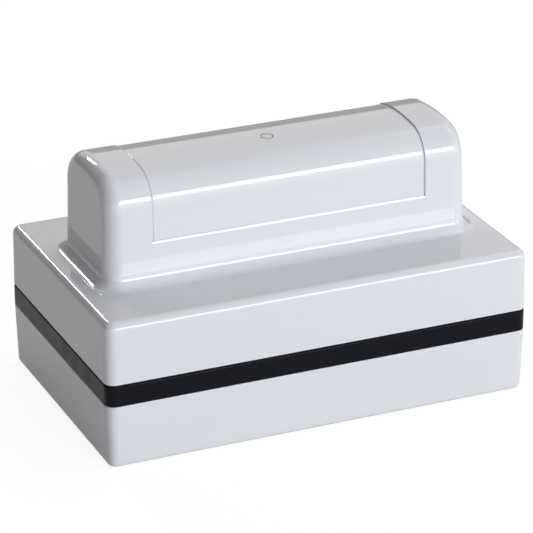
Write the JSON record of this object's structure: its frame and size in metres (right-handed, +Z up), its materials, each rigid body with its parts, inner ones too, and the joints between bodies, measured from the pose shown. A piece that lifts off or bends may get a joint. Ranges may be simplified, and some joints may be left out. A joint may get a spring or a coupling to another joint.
{
  "type": "pre-inked stamp",
  "caption": "Rectangular pre-inked hand stamp with a bar handle, a label cover that clips over it, a black band and dust cap, and a sprung skirt round the inked face.",
  "frame": {"origin": "centre of the dust cap's underside", "axes": "+X along the stamp's length and handle, -Y towards the front that the picture shows, +Z up out of the handle"},
  "size_m": [0.11, 0.0676, 0.0645],
  "materials": {
    "shell_grey": "high-gloss pale cool grey moulded plastic",
    "frame_black": "satin blue-black moulded plastic",
    "skirt_plastic": "fine matt dark grey moulded plastic",
    "ink_foam": "open-cell foam soaked with dark ink",
    "face_foam": "fine microporous foam, lightly ink-stained, blank",
    "spring_steel": "bright drawn spring wire",
    "screw_steel": "zinc-plated screws and washers",
    "card_paper": "blank uncoated card"
  },
  "bodies": {
    "cap": {"dust_cap": "shell_grey"},
    "stamp": {"upper_housing": "shell_grey", "middle_frame": "frame_black", "die_holder": "frame_black", "ink_pad": "ink_foam", "stamp_face": "face_foam", "face_clamp": "frame_black", "holder_screws": "screw_steel", "housing_screws": "screw_steel", "index_card": "card_paper", "return_spring_1": "spring_steel", "return_spring_2": "spring_steel", "return_spring_3": "spring_steel", "return_spring_4": "spring_steel"},
    "skirt_unit": {"skirt": "skirt_plastic", "skirt_stop_washers": "screw_steel", "skirt_stop_screws": "screw_steel"},
    "cover": {"label_cover": "shell_grey"}
  },
  "joints": [
    {"name": "cap_lift_off", "type": "slide", "parent": "cap", "child": "stamp", "axis": [0, 0, 1], "range_m": [0, 0.045]},
    {"name": "skirt_press", "type": "slide", "parent": "stamp", "child": "skirt_unit", "axis": [0, 0, 1], "range_m": [0, 0.0025], "stiffness_N_per_m": 3300, "springref_m": -0.003, "deforming": ["return_spring_1", "return_spring_2", "return_spring_3", "return_spring_4"]},
    {"name": "cover_lift_off", "type": "slide", "parent": "stamp", "child": "cover", "axis": [0, 0, 1], "range_m": [0, 0.03]}
  ]
}
